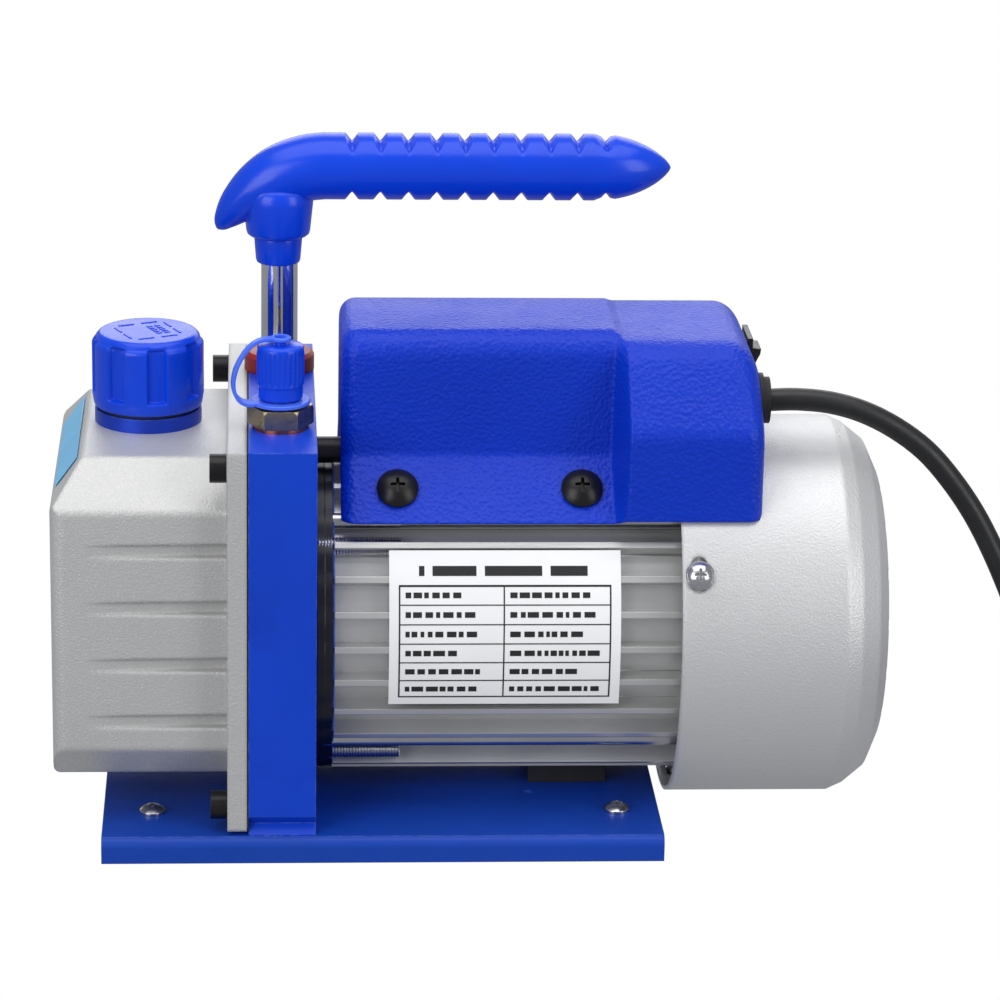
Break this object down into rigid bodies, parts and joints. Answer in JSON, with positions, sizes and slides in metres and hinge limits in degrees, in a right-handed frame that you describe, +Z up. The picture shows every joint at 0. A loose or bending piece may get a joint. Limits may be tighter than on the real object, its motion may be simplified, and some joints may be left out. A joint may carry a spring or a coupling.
{
  "type": "rotary vane vacuum pump",
  "caption": "Single-stage rotary vane vacuum pump with finned motor, silver oil tank, blue terminal box, blue handle, capped intake port and power cord.",
  "frame": {"origin": "on the floor under the middle of the machine, the power cord left out", "axes": "+X from the oil tank to the fan end along the shaft, the intake port is on the -Y side, +Z up"},
  "size_m": [0.3965, 0.1623, 0.2072],
  "materials": {
    "plate_paint": "satin",
    "block_paint": "satin",
    "blue_anodised": "satin",
    "blue_texture": "textured",
    "blue_plastic": "gloss",
    "strap_blue": "satin",
    "sticker_blue": "satin",
    "red_collar": "satin",
    "silver_cast": "satin",
    "silver_extrusion": "satin",
    "silver_cowl": "satin",
    "machined_alu": "satin",
    "steel": "satin",
    "zinc_screw": "polished",
    "chrome_stem": "polished",
    "black_oxide": "satin",
    "cast_iron": "matt",
    "laminations": "matt",
    "copper_wire": "satin",
    "copper_washer": "satin",
    "aged_brass": "satin",
    "brass_plug": "satin",
    "black_rubber": "matt",
    "cord_rubber": "satin",
    "black_plastic": "satin",
    "white_plastic": "satin",
    "gasket_fibre": "matt",
    "grey_felt": "matt",
    "vane_fibre": "satin",
    "sight_glass": "gloss",
    "label_foil": "satin"
  },
  "bodies": {
    "machine": {"base_plate": "plate_paint", "rubber_feet": "black_rubber", "foot_screws": "zinc_screw", "motor_support": "black_rubber", "base_bolts": "black_oxide", "oil_tank": "silver_cast", "tank_gasket": "gasket_fibre", "tank_bolts": "black_oxide", "sight_glass": "sight_glass", "sight_glass_ring": "machined_alu", "drain_plug": "brass_plug", "filler_collar": "blue_anodised", "demister": "grey_felt", "tank_sticker": "sticker_blue", "pump_block": "block_paint", "intake_fitting": "aged_brass", "intake_washer": "copper_washer", "dust_cap_strap": "strap_blue", "handle_stem": "chrome_stem", "handle_collar": "red_collar", "handle_grip": "blue_plastic", "pump_cylinder": "cast_iron", "pump_end_cover": "cast_iron", "pump_bolts": "black_oxide", "reed_stop": "steel", "reed_screws": "zinc_screw", "shaft_seal": "black_rubber", "front_bearing": "steel", "rear_bearing": "steel", "stator_core": "laminations", "stator_windings": "copper_wire", "motor_frame": "silver_extrusion", "rear_endshield": "silver_cast", "tie_rods": "steel", "tie_rod_nuts": "zinc_screw", "fan_cowl": "silver_cowl", "cowl_screws": "zinc_screw", "terminal_box": "blue_texture", "box_screws": "black_oxide", "box_stud": "black_oxide", "run_capacitor": "white_plastic", "switch_body": "black_plastic", "cord_gland": "black_rubber", "nameplate": "label_foil", "power_cord": "cord_rubber", "cord_coil": "cord_rubber", "cord_tail": "cord_rubber", "power_plug": "black_plastic"},
    "rotor": {"pump_rotor": "steel", "vane_springs": "steel", "motor_shaft": "steel", "motor_rotor": "laminations", "cooling_fan": "white_plastic"},
    "front_vane": {"vane_front": "vane_fibre"},
    "rear_vane": {"vane_rear": "vane_fibre"},
    "reed": {"exhaust_reed": "steel"},
    "filler_cap": {"oil_cap": "blue_plastic"},
    "intake_cap": {"dust_cap": "blue_plastic"},
    "rocker": {"switch_rocker": "black_plastic"},
    "cap_lift": {"oil_cap_seal": "black_rubber"}
  },
  "joints": [
    {"name": "rotor_spin", "type": "hinge", "parent": "machine", "child": "rotor", "pos_m": [0, 0, 0.067], "axis": [1, 0, 0], "continuous": true},
    {"name": "front_vane_slide", "type": "slide", "parent": "rotor", "child": "front_vane", "axis": [0, -1, 0], "range_m": [0, 0.0025]},
    {"name": "rear_vane_slide", "type": "slide", "parent": "rotor", "child": "rear_vane", "axis": [0, 1, 0], "range_m": [0, 0.0025]},
    {"name": "reed_lift", "type": "hinge", "parent": "machine", "child": "reed", "pos_m": [-0.0789, -0.0039, 0.096], "axis": [1, 0, 0], "range_deg": [0, 6], "stiffness_Nm_per_rad": 0.02},
    {"name": "oil_cap_lift", "type": "slide", "parent": "machine", "child": "cap_lift", "axis": [0, 0, 1], "range_m": [0, 0.014]},
    {"name": "oil_cap_turn", "type": "hinge", "parent": "cap_lift", "child": "filler_cap", "pos_m": [-0.0982, 0.003, 0.13], "axis": [0, 0, 1], "range_deg": [0, 1262]},
    {"name": "dust_cap_pull", "type": "slide", "parent": "machine", "child": "intake_cap", "axis": [0, 0, 1], "range_m": [0, 0.012], "deforming": ["dust_cap_strap"]},
    {"name": "switch_rock", "type": "hinge", "parent": "machine", "child": "rocker", "pos_m": [0.0853, 0.018, 0.1375], "axis": [0, 1, 0], "range_deg": [-16, 0]}
  ],
  "couplings": [
    {"joint": "oil_cap_turn", "follows": "oil_cap_lift", "rad_per_m": 1570.8}
  ]
}
